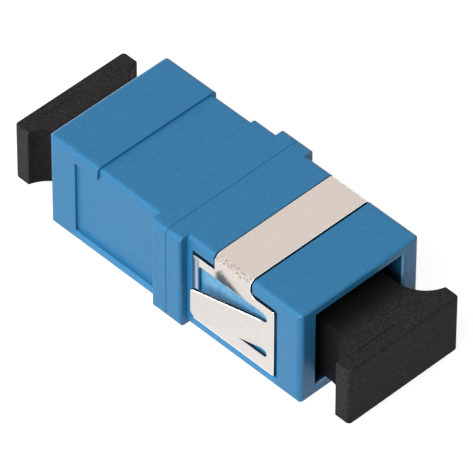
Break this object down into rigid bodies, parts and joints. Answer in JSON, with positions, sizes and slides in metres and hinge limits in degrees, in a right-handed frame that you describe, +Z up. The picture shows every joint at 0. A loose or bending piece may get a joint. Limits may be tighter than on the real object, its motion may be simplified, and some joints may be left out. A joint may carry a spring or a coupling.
{
  "type": "fibre-optic adapter",
  "caption": "Snap-in push-pull fibre-optic adapter: a square through-body with a flange, a folded steel panel clip over its front half and a soft dust cap in each port.",
  "frame": {"origin": "middle of the optical axis: the centre of the split sleeve, on the weld seam between the two housing halves", "axes": "+X out of the front port (the port whose half carries the spring clip), +Z up (the keyways are in the underside), +Y to the left as seen by someone looking out of the front port"},
  "size_m": [0.0375, 0.016, 0.0095],
  "materials": {
    "housing_plastic": "moulded, satin to gloss, light blue",
    "holder_plastic": "moulded, natural white",
    "sleeve_ceramic": "ground zirconia",
    "clip_steel": "stamped stainless sheet, bright sheared edges",
    "cap_rubber": "moulded, matte, fine texture"
  },
  "bodies": {
    "adapter": {"front_housing": "housing_plastic", "rear_housing": "housing_plastic", "front_latch_holder": "holder_plastic", "rear_latch_holder": "holder_plastic", "alignment_sleeve": "sleeve_ceramic", "spring_clip": "clip_steel"},
    "front_cap": {"front_dust_cap": "cap_rubber"},
    "rear_cap": {"rear_dust_cap": "cap_rubber"}
  },
  "joints": [
    {"name": "front_cap_pull", "type": "slide", "parent": "adapter", "child": "front_cap", "axis": [1, 0, 0], "range_m": [-0.00035, 0.03]},
    {"name": "rear_cap_pull", "type": "slide", "parent": "adapter", "child": "rear_cap", "axis": [-1, 0, 0], "range_m": [0, 0.03]}
  ]
}
